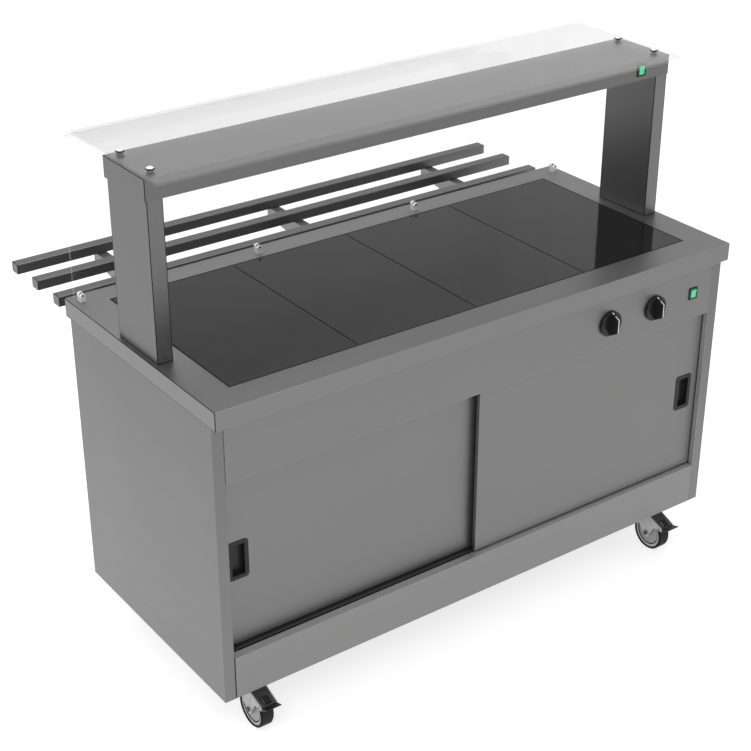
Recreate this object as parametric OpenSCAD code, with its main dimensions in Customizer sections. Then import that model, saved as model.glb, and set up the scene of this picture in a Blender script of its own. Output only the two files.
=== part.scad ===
// Mobile heated servery counter: hot cupboard with sliding doors, four hot tiles, a gantry with a
// curved glass guard and a tubular tray slide. X runs along the operator's front, +Y is the
// customer's side and Z is up. The origin is on the floor under the middle of the whole part.

/* [Worktop] */
// Length of the worktop
top_w = 1500; // [1480:10:1700]
// Depth of the worktop
top_d = 680; // [660:10:760]
// Height of the worktop above the floor
top_z = 900; // [860:5:960]
// Depth of the folded skirt
skirt_h = 46; // [36:1:60]
// Thickness of the stainless sheet
sheet = 1.5; // [1:0.1:2]

/* [Hot top] */
// Length of one hot tile along the counter
tile_w = 330; // [300:5:332]
// Depth of one hot tile
tile_d = 530; // [480:5:540]
// Thickness of a hot tile
tile_t = 6; // [4:0.5:8]
// Sealed gap between two tiles
tile_gap = 2.5; // [1.5:0.5:4]
// Width of the seal round the tiles
seal_w = 2; // [1:0.5:4]
// How far the tiles sit behind the middle of the worktop
tile_shift = 6.5; // [0:0.5:15]

/* [Cabinet] */
// Overhang of the worktop in front of the cabinet
front_overhang = 20.7; // [18:0.1:24]
// Overhang of the worktop behind the cabinet
back_overhang = 20; // [16:1:24]
// Overhang of the worktop past each side panel
side_overhang = 1.5; // [0.5:0.5:4]
// Height of the plinth panel
plinth_h = 112; // [100:1:130]
// Height of the control fascia
fascia_h = 146; // [130:1:160]
// Width of the stile folded from each side panel
stile_w = 28; // [24:1:34]
// Dark joint beside the fascia and the plinth
panel_joint = 1; // [0.5:0.5:2]
// Height of the shelf above the cupboard floor
shelf_rise = 302; // [240:5:340]

/* [Doors] */
// Thickness of a sliding door
door_t = 18; // [16:1:19]
// Distance between the two door tracks
track_pitch = 22; // [21:0.5:24]
// How far the front door sits behind the cabinet's front
door_setback = 16.9; // [16:0.1:20]
// Overlap of the two closed doors
door_overlap = 33.4; // [24:1:50]
// How much of each door the stile hides
door_hidden = 12.8; // [8:0.2:20]
// Air under each door
door_foot_gap = 4; // [3:0.5:6]

/* [Handles] */
// Width of a recessed handle
handle_w = 54; // [48:1:60]
// Height of a recessed handle
handle_h = 100; // [80:2:130]
// Middle of the handle above the foot of the door
handle_rise = 228; // [180:2:280]
// Middle of the handle from the stile's edge
handle_inset = 44.5; // [38:0.5:60]
// Depth of the handle's finger cup
cup_depth = 13; // [8:0.5:14]

/* [Controls] */
// Radius of a knob's skirt
knob_r = 33; // [26:0.5:36]
// How far a knob stands out of the fascia
knob_h = 31; // [24:1:36]
// Distance between the two knobs
knob_pitch = 150.5; // [100:0.5:180]
// Right knob from the cabinet's right side
knob_inset = 225.5; // [190:0.5:260]
// Fascia switch from the cabinet's right side
switch_inset = 92.5; // [70:1:120]
// Height of the controls above the fascia's lower edge
control_rise = 71.2; // [66:1:80]
// Width of a rocker switch's bezel
bezel_w = 27; // [25:1:32]
// Height of a rocker switch's bezel
bezel_h = 31; // [29:1:36]

/* [Gantry] */
// Width of a post's box section
post_w = 38; // [30:1:44]
// Depth of a post's box section
post_d = 171; // [150:1:190]
// Height of a post
post_h = 374.6; // [300:5:450]
// Post from the end of the worktop
post_inset = 11; // [10:1:14]
// Gantry from the end of the worktop
gantry_inset = 8; // [6:1:10]
// Height of the gantry box
gantry_h = 49.6; // [46:1:70]
// How far the gantry reaches behind the posts
gantry_tail = 8; // [2:1:14]
// Gantry switch from the gantry's right end
gantry_switch_inset = 93; // [70:1:110]

/* [Glass guard] */
// Thickness of the guard
glass_t = 6; // [4:0.5:8]
// Inner radius of the guard's bend
bend_r = 60; // [30:5:80]
// Guard from the end of the worktop
glass_inset = 6; // [5:1:10]
// How far the guard reaches in front of the gantry
glass_nose = 60; // [20:5:90]
// Guard's outer face from the back of the worktop
glass_back_inset = 37; // [30:1:60]
// Air between the gantry and the guard
glass_lift = 3.8; // [3:0.1:8]
// Air between the worktop and the guard's foot
glass_foot = 15; // [10:1:18]
// Width of a worktop clamp
clamp_w = 14; // [12:1:24]
// Height of a worktop clamp
clamp_h = 21; // [20:1:30]
// Outer clamps from the end of the worktop
clamp_inset = 25; // [20:1:60]

/* [Tray slide] */
// Depth of a rail's section
rail_d = 32; // [26:1:38]
// Height of a rail's section
rail_h = 26; // [20:1:30]
// Distance between the rails
rail_pitch = 115.25; // [95:1:125]
// First rail from the back of the worktop
rail_gap = 68.5; // [50:1:80]
// Rail from the end of the worktop
rail_inset = 9; // [4:1:20]
// Outer brackets from the ends of the rails
bracket_inset = 218; // [180:2:290]
// Thickness of the bracket plate
bracket_t = 3; // [2:0.5:4]
// Width of the bracket's top flange
bracket_flange = 27.4; // [22:0.2:40]

/* [Castors] */
// Radius of a castor wheel
wheel_r = 50; // [46:1:52]
// Width of a castor wheel
wheel_w = 35; // [30:1:38]
// Height of a castor from the floor to its plate's top
castor_h = 140; // [138:1:150]
// Offset of the wheel from its swivel
castor_trail = 35; // [30:1:38]
// Castor from the side of the cabinet
castor_inset = 109.5; // [100:1:130]
// Swivel of a castor from the front and back edges of the worktop
castor_edge = 104; // [100:1:140]
// Width of the fork over its cheeks
fork_w = 45; // [42:1:50]

/* [Hidden] */
$fn = 64;
over = 0.5;
fit = 0.3;

// Worktop and hot top
tile_count = 4;
tile_pitch = tile_w + tile_gap;
well_w = tile_count * tile_pitch - tile_gap + 2 * seal_w;
well_d = tile_d + 2 * seal_w;
skirt_z = top_z - skirt_h;
ledge_z = top_z - tile_t;
ledge_w = 15;
lip_w = 40;
seal_drop = 0.5;
pad_t = 8;
pad_gap = 8;
top_x = top_w / 2;
top_y = top_d / 2;

// Cabinet planes
cab_x = top_x - side_overhang;
cab_in = cab_x - sheet;
cab_front = -top_y + front_overhang;
cab_back = top_y - back_overhang;
cab_z = castor_h;
stile_in = cab_x - stile_w;
stile_ret = 6;
stile_reach = 15;
panel_x = stile_in - panel_joint;
ledge_top = cab_z + plinth_h;
fascia_z = skirt_z - fascia_h;
fascia_lip = 13;
fascia_flange = 30;
back_in = cab_back - sheet;

// Doors, their tracks and rollers
door1_y = cab_front + door_setback + door_t / 2;
door2_y = door1_y + track_pitch;
door_w = stile_in + door_hidden + door_overlap / 2;
door_x = (door_w - door_overlap) / 2;
door_z = ledge_top + door_foot_gap;
door_cover = 6;
door_top = fascia_z + door_cover;
pan_step = 7;
guide_off = 1;
guide_slot = 6;
guide_depth = 10;
guide_t = 3;
guide_l = 40;
guide_drop = 10;
slot_stop = 25;
lug_share = 0.4;
lug_x = lug_share * door_w;
lug_w = 30;
lug_t = 4;
pan_t = (door_t + lug_t) / 2;
lug_rise = 26;
roller_r = 11;
roller_w = 8;
roller_bore = 3.3;
axle_r = roller_bore - fit;
collar_t = 3;
collar_r = 5;
axle_head = 1.7;
rail_gap_z = 4.5;
track_z = door_top + rail_gap_z;
track_h = 29;
track_air = 2;
track_front = lug_t / 2 + collar_t + 2 * fit + roller_w + axle_head + track_air;
track_slot = 1.5;
roller_z = track_z + sheet + fit + roller_r;
track_base_front = door1_y - guide_off - guide_slot / 2 - sheet;
track_base_back = door2_y + door_t / 2 + fit;
track_base_h = 12;
track_seat = ledge_top - track_base_h;
floor_drop = 2;
floor_top = ledge_top - floor_drop;
floor_front = track_base_back + sheet;

// Handles
handle_r = 9;
handle_lip = 9;
handle_proud = 1.5;
cup_wall = 1.5;
handle_drop = 4.5;
handle_slip = 4;
handle_x = stile_in - handle_inset;
handle_z = door_z + handle_rise;
left_pull = [-handle_x, 0, handle_z - handle_drop];
right_pull = [handle_x - handle_slip, 0, handle_z];
handle_screw_r = 3;
handle_screw_t = 1;

// Knobs, regulators and switches
control_z = fascia_z + control_rise;
knob_drop = 4;
knob_z = control_z - knob_drop;
knob_x2 = cab_x - knob_inset;
knob_x1 = knob_x2 - knob_pitch;
knob_gap = 0.5;
knob_skirt = 8;
knob_chamfer = 2;
grip_w = 12;
grip_tip = 7;
grip_slope_share = 0.6;
grip_foot_share = 0.47;
skirt_flat_share = 0.86;
shaft_r = 3;
shaft_l = 20;
bush_r = 7;
control_w = 44;
control_d = 30;
switch_x = cab_x - switch_inset;
bezel_t = 2.5;
switch_wall = 2.5;
switch_d = 24;
rocker_w = 16;
rocker_h = 21;
rocker_side = 0.6;
rocker_end = 1.5;
rocker_pin_r = 1.4;
rocker_pin_l = 1.5;
pin_end = rocker_w / 2 + rocker_side + rocker_pin_l;
pivot_depth = 3;
rocker_proud = 4.5;
rocker_valley = 3.4;
rocker_back = 2.5;
pocket_back = 5;
rocker_tilt = 7;

// Gantry
post_y = 0.5;
post_front = post_y - post_d / 2;
post_back = post_y + post_d / 2;
post_wall = 2;
post_x = top_x - post_inset - post_w / 2;
foot_hole_r = 1.8;
foot_hole_z = 9;
gantry_x = top_x - gantry_inset;
gantry_z = top_z + post_h;
gantry_top = gantry_z + gantry_h;
gantry_back = post_back + gantry_tail;
gantry_switch_x = gantry_x - gantry_switch_inset;
gantry_switch_share = 0.535;
gantry_switch_z = gantry_z + gantry_switch_share * gantry_h;
trough_w = 400;
trough_d = 100;
trough_h = 36;
trough_pitch = 450;
lamp_r = 5;
lamp_cap_r = 8;
lamp_cap_l = 14;

// Glass guard, its fixings and clamps
glass_x = top_x - glass_inset;
glass_z = gantry_top + glass_lift;
glass_front = post_front - glass_nose;
glass_back = top_y - glass_back_inset;
glass_low = top_z + glass_foot;
bend_y = glass_back - glass_t - bend_r;
bend_z = glass_z - bend_r;
fix_inset = 31.1;
fix_edge = 24.5;
fix_x = glass_x - fix_inset;
fix_front = post_front + fix_edge;
fix_back = gantry_back - fix_edge;
fix_bolt_r = 4.5;
fix_hole_r = 5;
fix_spacer_r = 8;
fix_dome_r = 10.8;
fix_dome_h = 6;
fix_tail = 8;
clamp_front = 4.5;
clamp_rear = 7;
clamp_round = 6;
clamp_step = 2;
clamp_outer = top_x - clamp_inset;
clamp_xs = [-clamp_outer, -clamp_outer / 3, clamp_outer / 3, clamp_outer];
grub_r = 2.2;
grub_depth = 3;
grub_share = 0.8;

// Tray slide
rail_x = top_x - rail_inset;
bracket_pitch = rail_x - bracket_inset;
rail_y1 = top_y + rail_gap;
rail_y3 = rail_y1 + 2 * rail_pitch;
rail_drop = 0.5;
rail_z = skirt_z - rail_drop;
rail_r = 2.5;
rail_wall = 1.5;
rail_cap = 3;
vent_r = 3;
bracket_top = rail_z;
bracket_past = 3;
bracket_end = rail_y3 + bracket_past;
bracket_nose = 24;
bracket_root = 76;
bracket_xs = [-bracket_pitch, 0, bracket_pitch];
screw_r = 3;
screw_head_r = 6;
screw_head = 4;
screw_low = 60;
screw_high = 22;
screw_side = 12;

// Castors
castor_x = cab_x - castor_inset;
castor_y = top_y - castor_edge;
plate_w = 100;
plate_d = 85;
plate_t = 4;
bolt_x = 80;
bolt_y = 62;
bolt_r = 4;
bolt_head_r = 6.5;
bolt_head = 4;
bolt_l = 12;
race_r = 24;
race_h = 5;
kingpin_r = 6;
crown_t = 4;
crown_r = 29;
crown_rise = 14;
cup_h = 4.7;
kingnut_r = 10;
kingnut_h = 6;
cheek_t = 3;
cheek_boss = 12;
crown_z = castor_h - crown_rise - crown_t;
hood_t = 3;
axle_bolt_r = 4;
axle_nut_r = 6.5;
axle_nut = 4;
hub_r = 44;
hub_boss = 12;
hub_boss_out = 1;
hub_face = 13;
hub_groove = 9;
hub_disc_r = 34.5;
hub_rim_r = 37;
tyre_round = 3;
neck_back = 26;
neck_front = 32;
neck_drop = 14;
knee_in = 13;
knee_gap = 5;
nose_reach = 6.5;
nose_rise = 38.5;
nose_h = 8.5;
jaw_back = 28;
jaw_drop = 2;
boss_share = 0.82;
boss_low_share = 0.34;
hatch_w = 24;
hatch_depth = 1.2;
hatch_from_share = 0.42;
hatch_to_share = 0.93;
tab_w = 16;
tab_t = 1.5;
tab_share = 0.85;
tab_from_share = 0.5;
tab_lean_share = 0.38;
pedal_t = 5;
pedal_w = 34;
pedal_tip_w = 41;
pedal_air = 2;
pedal_lift = 6;
pedal_edge = 2;
pedal_pin_r = 2.5;
pedal_boss_r = 4;
pedal_reach = 78;
pedal_pivot = 47;
pedal_pivot_z = 34;

// Cable gland
gland_inset = 148.5;
gland_x = cab_x - gland_inset;
gland_rise = 62;
gland_r = 13;
gland_nut = 7;
gland_cap_r = 9;
gland_l = 22;
gland_bore = 4.5;
gland_bore_l = 12;

// Middle of the whole part, front knob to last rail
counter_y = -(rail_y3 + rail_d / 2 + cab_front - knob_h) / 2;

steel = [0.62, 0.62, 0.61];
dark_steel = [0.42, 0.42, 0.42];
black = [0.06, 0.06, 0.06];
tile_grey = [0.13, 0.13, 0.14];
lens_green = [0.25, 0.85, 0.55];
clear = [0.8, 0.9, 0.92, 0.35];
shiny = [0.85, 0.86, 0.87];

// Helpers: a box between two corners, outlines drawn in YZ or XZ, and cylinders along X and Y
module in_frame() { translate([0, counter_y, 0]) children(); }
module block(lo, hi) { translate(lo) cube(hi - lo); }
module along_x(x0, x1) { translate([x0, 0, 0]) rotate([90, 0, 90]) linear_extrude(x1 - x0) children(); }
module along_y(y0, y1) { translate([0, y1, 0]) rotate([90, 0, 0]) linear_extrude(y1 - y0) children(); }
module rod_x(x0, x1, r) { translate([x0, 0, 0]) rotate([0, 90, 0]) cylinder(h = x1 - x0, r = r); }
module rod_y(y0, y1, r) { translate([0, y1, 0]) rotate([90, 0, 0]) cylinder(h = y1 - y0, r = r); }
module span(lo, hi) { translate(lo) square(hi - lo); }

// Rectangle with round corners, centred
module round_rect(w, h, r) {
  square([w - 2 * r, h], center = true);
  square([w, h - 2 * r], center = true);
  for (sx = [-1, 1])
    for (sy = [-1, 1])
      translate([sx * (w / 2 - r), sy * (h / 2 - r)]) circle(r);
}

function tile_x(i) = (i - (tile_count - 1) / 2) * tile_pitch;

// Worktop: folded sheet with a turned-in lower lip and a well whose ledge carries the tiles
module worktop() in_frame() color(steel) difference() {
  block([-top_x, -top_y, skirt_z], [top_x, top_y, top_z]);
  difference() {
    block([-top_x + sheet, -top_y + sheet, skirt_z + sheet], [top_x - sheet, top_y - sheet, top_z - sheet]);
    block([-well_w / 2 - sheet, tile_shift - well_d / 2 - sheet, ledge_z - sheet],
      [well_w / 2 + sheet, tile_shift + well_d / 2 + sheet, top_z]);
  }
  block([-top_x + lip_w, -top_y + lip_w, skirt_z - over],
    [top_x - lip_w, top_y - lip_w, skirt_z + sheet + over]);
  block([-well_w / 2, tile_shift - well_d / 2, ledge_z], [well_w / 2, tile_shift + well_d / 2, top_z + over]);
  for (i = [0 : tile_count - 1])
    block([tile_x(i) - tile_w / 2 + ledge_w, tile_shift - tile_d / 2 + ledge_w, ledge_z - sheet - over],
      [tile_x(i) + tile_w / 2 - ledge_w, tile_shift + tile_d / 2 - ledge_w, ledge_z + over]);
}

module tile_block(i, z0, z1) {
  block([tile_x(i) - tile_w / 2, tile_shift - tile_d / 2, z0],
    [tile_x(i) + tile_w / 2, tile_shift + tile_d / 2, z1]);
}

module hot_tile(i) in_frame() color(tile_grey) tile_block(i, ledge_z, top_z);

module tile_seal() in_frame() color(black) difference() {
  block([-well_w / 2, tile_shift - well_d / 2, ledge_z],
    [well_w / 2, tile_shift + well_d / 2, top_z - seal_drop]);
  for (i = [0 : tile_count - 1])
    tile_block(i, ledge_z - over, top_z + over);
}

// Pads under the tiles, and the cupboard's tubular element on saddles in the base
elem_l = 1000;
elem_r = 5;
elem_pitch = 90;
elem_rise = 24;
saddle_t = 8;
module heating_elements() in_frame() color(dark_steel) {
  half_w = tile_w / 2 - ledge_w - pad_gap;
  half_d = tile_d / 2 - ledge_w - pad_gap;
  for (i = [0 : tile_count - 1])
    block([tile_x(i) - half_w, tile_shift - half_d, ledge_z - pad_t],
      [tile_x(i) + half_w, tile_shift + half_d, ledge_z]);
  elem_z = cab_z + sheet + elem_rise;
  for (sy = [-1, 1])
    translate([0, sy * elem_pitch / 2, elem_z]) rod_x(-elem_l / 2, elem_l / 2, elem_r);
  for (sx = [-1, 0, 1])
    block([sx * elem_l / 2 - saddle_t, -elem_pitch / 2 - 2 * elem_r, cab_z + sheet],
      [sx * elem_l / 2 + saddle_t, elem_pitch / 2 + 2 * elem_r, elem_z + 2 * elem_r]);
}

// Side panel of the right side: side sheet, top flange and front stile, whose return is deeper at the doors
module side_shell() color(steel) {
  block([cab_in, cab_front, cab_z], [cab_x, cab_back, skirt_z]);
  block([stile_in, cab_front, ledge_top], [stile_in + sheet, cab_front + stile_reach, fascia_z]);
  block([stile_in, cab_front, cab_z], [cab_x, cab_front + sheet, skirt_z]);
  block([stile_in, cab_front, cab_z], [stile_in + sheet, cab_front + stile_ret, skirt_z]);
  block([stile_in, cab_front, skirt_z - sheet], [cab_x, back_in, skirt_z]);
}
module left_side_panel() in_frame() mirror([1, 0, 0]) side_shell();
module right_side_panel() in_frame() side_shell();

// Back panel with the holes of the bracket screws
module back_panel() in_frame() color(steel) difference() {
  block([-cab_in, back_in, cab_z], [cab_in, cab_back, skirt_z]);
  bracket_holes(back_in - over, cab_back + over);
}

module bracket_holes(y0, y1) {
  for (bx = bracket_xs)
    for (dz = [screw_low, screw_high])
      translate([bx - screw_side, 0, bracket_top - dz]) rod_y(y0, y1, screw_r + fit / 2);
}

function castor_at(i) = [(i % 2 == 0 ? -1 : 1) * castor_x, (i < 2 ? -1 : 1) * castor_y];
module bolt_circle(z0, z1, r) {
  for (i = [0 : 3])
    for (sx = [-1, 1])
      for (sy = [-1, 1])
        translate([castor_at(i)[0] + sx * bolt_x / 2, castor_at(i)[1] + sy * bolt_y / 2, z0])
          cylinder(h = z1 - z0, r = r);
}

// Base: bottom plate, front wall, step that carries the guide strip, cupboard floor and rear wall
module base_panel() in_frame() color(steel) difference() {
  along_x(-cab_in, cab_in) {
    span([cab_front + stile_ret, cab_z], [back_in, cab_z + sheet]);
    span([track_base_front, cab_z], [track_base_front + sheet, track_seat]);
    span([track_base_front, track_seat - sheet], [floor_front, track_seat]);
    span([floor_front - sheet, track_seat - sheet], [floor_front, floor_top]);
    span([floor_front - sheet, floor_top - sheet], [back_in, floor_top]);
    span([back_in - sheet, cab_z], [back_in, floor_top]);
  }
  bolt_circle(cab_z - over, cab_z + sheet + over, bolt_r + fit / 2);
}

// Shelf with both ends folded down against the side panels and a folded front edge
shelf_fold = 25;
shelf_setback = 12;
module shelf() in_frame() color(steel) {
  sz = floor_top + shelf_rise;
  sy = track_base_back + shelf_setback;
  block([-cab_in, sy, sz - sheet], [cab_in, back_in, sz]);
  block([-cab_in, sy, sz - shelf_fold], [cab_in, sy + sheet, sz]);
  for (sx = [-1, 1])
    block([min(sx * cab_in, sx * (cab_in - sheet)), sy, sz - shelf_fold],
      [max(sx * cab_in, sx * (cab_in - sheet)), back_in, sz]);
}

module switch_cut(x, y, z) {
  block([x - bezel_w / 2 + switch_wall, y - over, z - bezel_h / 2 + switch_wall],
    [x + bezel_w / 2 - switch_wall, y + sheet + over, z + bezel_h / 2 - switch_wall]);
}

// Fascia: front sheet with folds on all four edges and the cut-outs of the controls
module fascia_panel() in_frame() color(steel) difference() {
  union() {
    block([-panel_x, cab_front, fascia_z], [panel_x, cab_front + sheet, skirt_z]);
    block([-panel_x, cab_front, skirt_z - sheet], [panel_x, cab_front + fascia_flange, skirt_z]);
    block([-panel_x, cab_front, fascia_z], [panel_x, cab_front + fascia_lip, fascia_z + sheet]);
    for (sx = [-1, 1])
      block([min(sx * panel_x, sx * (panel_x - sheet)), cab_front, fascia_z],
        [max(sx * panel_x, sx * (panel_x - sheet)), cab_front + stile_ret, skirt_z]);
  }
  for (kx = [knob_x1, knob_x2])
    translate([kx, 0, knob_z]) rod_y(cab_front - over, cab_front + sheet + over, bush_r + fit / 2);
  switch_cut(switch_x, cab_front, control_z);
}

// Plinth: front sheet folded back at its top, foot and ends
module plinth_panel() in_frame() color(steel) {
  block([-panel_x, cab_front, cab_z], [panel_x, cab_front + sheet, ledge_top]);
  block([-panel_x, cab_front, ledge_top - sheet], [panel_x, track_base_front, ledge_top]);
  block([-panel_x, cab_front, cab_z], [panel_x, cab_front + stile_ret, cab_z + sheet]);
  for (sx = [-1, 1])
    block([min(sx * panel_x, sx * (panel_x - sheet)), cab_front, cab_z],
      [max(sx * panel_x, sx * (panel_x - sheet)), cab_front + stile_ret, ledge_top]);
}

// Hanging track: a roof with, for each door, a wall and the flange its rollers run on
module track_lane(y) {
  span([y - track_front - sheet, track_z], [y - track_front, track_z + track_h]);
  span([y - track_front - sheet, track_z], [y - lug_t / 2 - track_slot, track_z + sheet]);
}
module top_track() in_frame() color(steel) along_x(-cab_in, cab_in) {
  track_lane(door1_y);
  track_lane(door2_y);
  span([door1_y - track_front - sheet, track_z + track_h - sheet],
    [door2_y + lug_t / 2 + track_slot + sheet, track_z + track_h]);
  span([door2_y + lug_t / 2 + track_slot, track_z],
    [door2_y + lug_t / 2 + track_slot + sheet, track_z + track_h]);
}

// Guide strip with one slot per door, closed at both ends
module bottom_track() in_frame() color(dark_steel) difference() {
  along_x(-cab_in, cab_in) span([track_base_front, track_seat], [track_base_back, ledge_top]);
  along_x(slot_stop - stile_in, stile_in - slot_stop)
    for (y = [door1_y, door2_y])
      span([y - guide_off - guide_slot / 2, ledge_top - guide_depth],
        [y - guide_off + guide_slot / 2, ledge_top + over]);
}

// Front of the collar that a roller runs against
function roller_seat(dy) = dy - lug_t / 2 - collar_t;

// Sliding door: outer pan, narrower inner pan, handle pocket, hanger lugs with axles, and guides
module sliding_door(dx, dy, pull) color(steel) {
  face = dy - door_t / 2;
  lo = [dx - door_w / 2, face, door_z];
  hi = [dx + door_w / 2, face + pan_t, door_top];
  step = [pan_step, 0, pan_step];
  difference() {
    union() {
      block(lo, hi);
      block(lo + step, [hi[0], dy + door_t / 2, hi[2]] - step);
    }
    translate(pull) along_y(face - over, face + cup_depth + cup_wall)
      round_rect(handle_w - 2 * handle_lip, handle_h - 2 * handle_lip, handle_r - handle_lip / 2);
  }
  for (sx = [-1, 1])
    translate([dx + sx * lug_x, 0, 0]) {
      block([-lug_w / 2, dy - lug_t / 2, door_top - lug_t], [lug_w / 2, dy + lug_t / 2, door_top + lug_rise]);
      translate([0, roller_seat(dy), roller_z]) {
        rod_y(0, collar_t, collar_r);
        rod_y(-2 * fit - roller_w - axle_head, collar_t, axle_r);
        rod_y(-2 * fit - roller_w - axle_head, -2 * fit - roller_w, collar_r);
      }
      block([-guide_l / 2, dy - guide_off - guide_t / 2, door_z - guide_drop],
        [guide_l / 2, dy - guide_off + guide_t / 2, door_z + guide_t]);
    }
}
module left_door() in_frame() sliding_door(-door_x, door2_y, left_pull);
module right_door() in_frame() sliding_door(door_x, door1_y, right_pull);

module door_roller(dx, dy, sx) color(black)
  translate([dx + sx * lug_x, roller_seat(dy) - fit, roller_z]) difference() {
    rod_y(-roller_w, 0, roller_r);
    rod_y(-roller_w - over, over, roller_bore);
  }
module left_door_roller_1() in_frame() door_roller(-door_x, door2_y, -1);
module left_door_roller_2() in_frame() door_roller(-door_x, door2_y, 1);
module right_door_roller_1() in_frame() door_roller(door_x, door1_y, -1);
module right_door_roller_2() in_frame() door_roller(door_x, door1_y, 1);

// Recessed handle: frame on the door's face, finger cup in the pocket and one screw in the cup
module flush_handle(pull, face) color(black) translate(pull) {
  cup_w = handle_w - 2 * handle_lip;
  cup_h2 = handle_h - 2 * handle_lip;
  cup_r = handle_r - handle_lip / 2;
  difference() {
    union() {
      along_y(face - handle_proud, face) round_rect(handle_w, handle_h, handle_r);
      along_y(face, face + cup_depth + cup_wall) round_rect(cup_w, cup_h2, cup_r);
    }
    along_y(face - handle_proud - over, face + cup_depth)
      round_rect(cup_w - 2 * cup_wall, cup_h2 - 2 * cup_wall, cup_r - cup_wall);
  }
  translate([0, 0, -cup_h2 / 2 + 2 * handle_r])
    rod_y(face + cup_depth - handle_screw_t, face + cup_depth, handle_screw_r);
}
module left_handle() in_frame() flush_handle(left_pull, door2_y - door_t / 2);
module right_handle() in_frame() flush_handle(right_pull, door1_y - door_t / 2);

// Knob: skirt cut flat at its foot, and a bar grip that slopes to the skirt at its pointer and its foot
module knob(kx) color(black) translate([kx, 0, knob_z]) {
  back = cab_front - knob_gap;
  skirt = back - knob_skirt;
  tip = cab_front - knob_h;
  flat = -skirt_flat_share * knob_r;
  difference() {
    union() {
      intersection() {
        union() {
          rod_y(skirt + knob_chamfer, back, knob_r);
          translate([0, skirt + knob_chamfer, 0]) rotate([90, 0, 0])
            cylinder(h = knob_chamfer, r1 = knob_r, r2 = knob_r - knob_chamfer);
        }
        block([-2 * knob_r, skirt - over, flat], [2 * knob_r, back + over, 2 * knob_r]);
      }
      intersection() {
        along_x(-grip_w / 2, grip_w / 2)
          polygon([[back, knob_r - knob_chamfer], [skirt, knob_r - knob_chamfer],
            [tip, grip_slope_share * knob_r], [tip, -grip_foot_share * knob_r], [skirt, flat], [back, flat]]);
        translate([0, 0, -knob_r]) linear_extrude(2 * knob_r)
          polygon([[-grip_w / 2, back], [grip_w / 2, back], [grip_w / 2, skirt],
            [grip_tip / 2, tip], [-grip_tip / 2, tip], [-grip_w / 2, skirt]]);
      }
    }
    rod_y(cab_front - shaft_l - knob_gap, back + over, shaft_r + fit);
  }
}
module left_knob() in_frame() knob(knob_x1);
module right_knob() in_frame() knob(knob_x2);

module heat_controls() in_frame() color(dark_steel)
  for (kx = [knob_x1, knob_x2])
    translate([kx, 0, knob_z]) {
      block([-control_w / 2, cab_front + sheet, -control_w / 2],
        [control_w / 2, cab_front + sheet + control_d, control_w / 2]);
      rod_y(cab_front, cab_front + 2 * sheet, bush_r);
      rod_y(cab_front - shaft_l, cab_front + sheet, shaft_r);
    }

// Rocker switch: bezel and body with an open pocket, and the tilted lens that pivots in it
module switch_body(x, y, z) color(black) translate([x, y, z]) difference() {
  union() {
    block([-bezel_w / 2, -bezel_t, -bezel_h / 2], [bezel_w / 2, 0, bezel_h / 2]);
    block([-bezel_w / 2 + switch_wall, -bezel_t, -bezel_h / 2 + switch_wall],
      [bezel_w / 2 - switch_wall, switch_d, bezel_h / 2 - switch_wall]);
  }
  block([-rocker_w / 2 - rocker_side, -bezel_t - over, -rocker_h / 2 - rocker_end],
    [rocker_w / 2 + rocker_side, -bezel_t + pivot_depth + pocket_back, rocker_h / 2 + rocker_end]);
  translate([0, -bezel_t + pivot_depth, 0]) rod_x(-pin_end, pin_end, rocker_pin_r + fit);
}
module rocker(x, y, z) color(lens_green)
  translate([x, y - bezel_t + pivot_depth, z]) rotate([rocker_tilt, 0, 0]) {
  along_x(-rocker_w / 2, rocker_w / 2) polygon([[-rocker_proud, rocker_h / 2], [-rocker_valley, 0],
    [-rocker_proud, -rocker_h / 2], [rocker_back, -rocker_h / 2], [rocker_back, rocker_h / 2]]);
  rod_x(-pin_end + fit, pin_end - fit, rocker_pin_r);
}
module main_switch() in_frame() switch_body(switch_x, cab_front, control_z);
module main_rocker() in_frame() rocker(switch_x, cab_front, control_z);
module gantry_switch() in_frame() switch_body(gantry_switch_x, post_front, gantry_switch_z);
module gantry_rocker() in_frame() rocker(gantry_switch_x, post_front, gantry_switch_z);

// Post: box section with a small fixing hole low in its front wall
module post(x) color(steel) translate([x, 0, top_z]) difference() {
  block([-post_w / 2, post_front, 0], [post_w / 2, post_back, post_h]);
  block([-post_w / 2 + post_wall, post_front + post_wall, -over],
    [post_w / 2 - post_wall, post_back - post_wall, post_h + over]);
  translate([0, 0, foot_hole_z]) rod_y(post_front - over, post_front + post_wall + over, foot_hole_r);
}
module left_post() in_frame() post(-post_x);
module right_post() in_frame() post(post_x);

module fixing_places() {
  for (sx = [-1, 1])
    for (y = [fix_front, fix_back])
      translate([sx * fix_x, y, 0]) children();
}

// Gantry: folded box open below, with the holes of the guard's fixings and the switch
module gantry_canopy() in_frame() color(steel) difference() {
  block([-gantry_x, post_front, gantry_z], [gantry_x, gantry_back, gantry_top]);
  block([-gantry_x + sheet, post_front + sheet, gantry_z - over],
    [gantry_x - sheet, gantry_back - sheet, gantry_top - sheet]);
  fixing_places() translate([0, 0, gantry_top - sheet - over])
    cylinder(h = sheet + 2 * over, r = fix_bolt_r + fit / 2);
  switch_cut(gantry_switch_x, post_front, gantry_switch_z);
}

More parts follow.
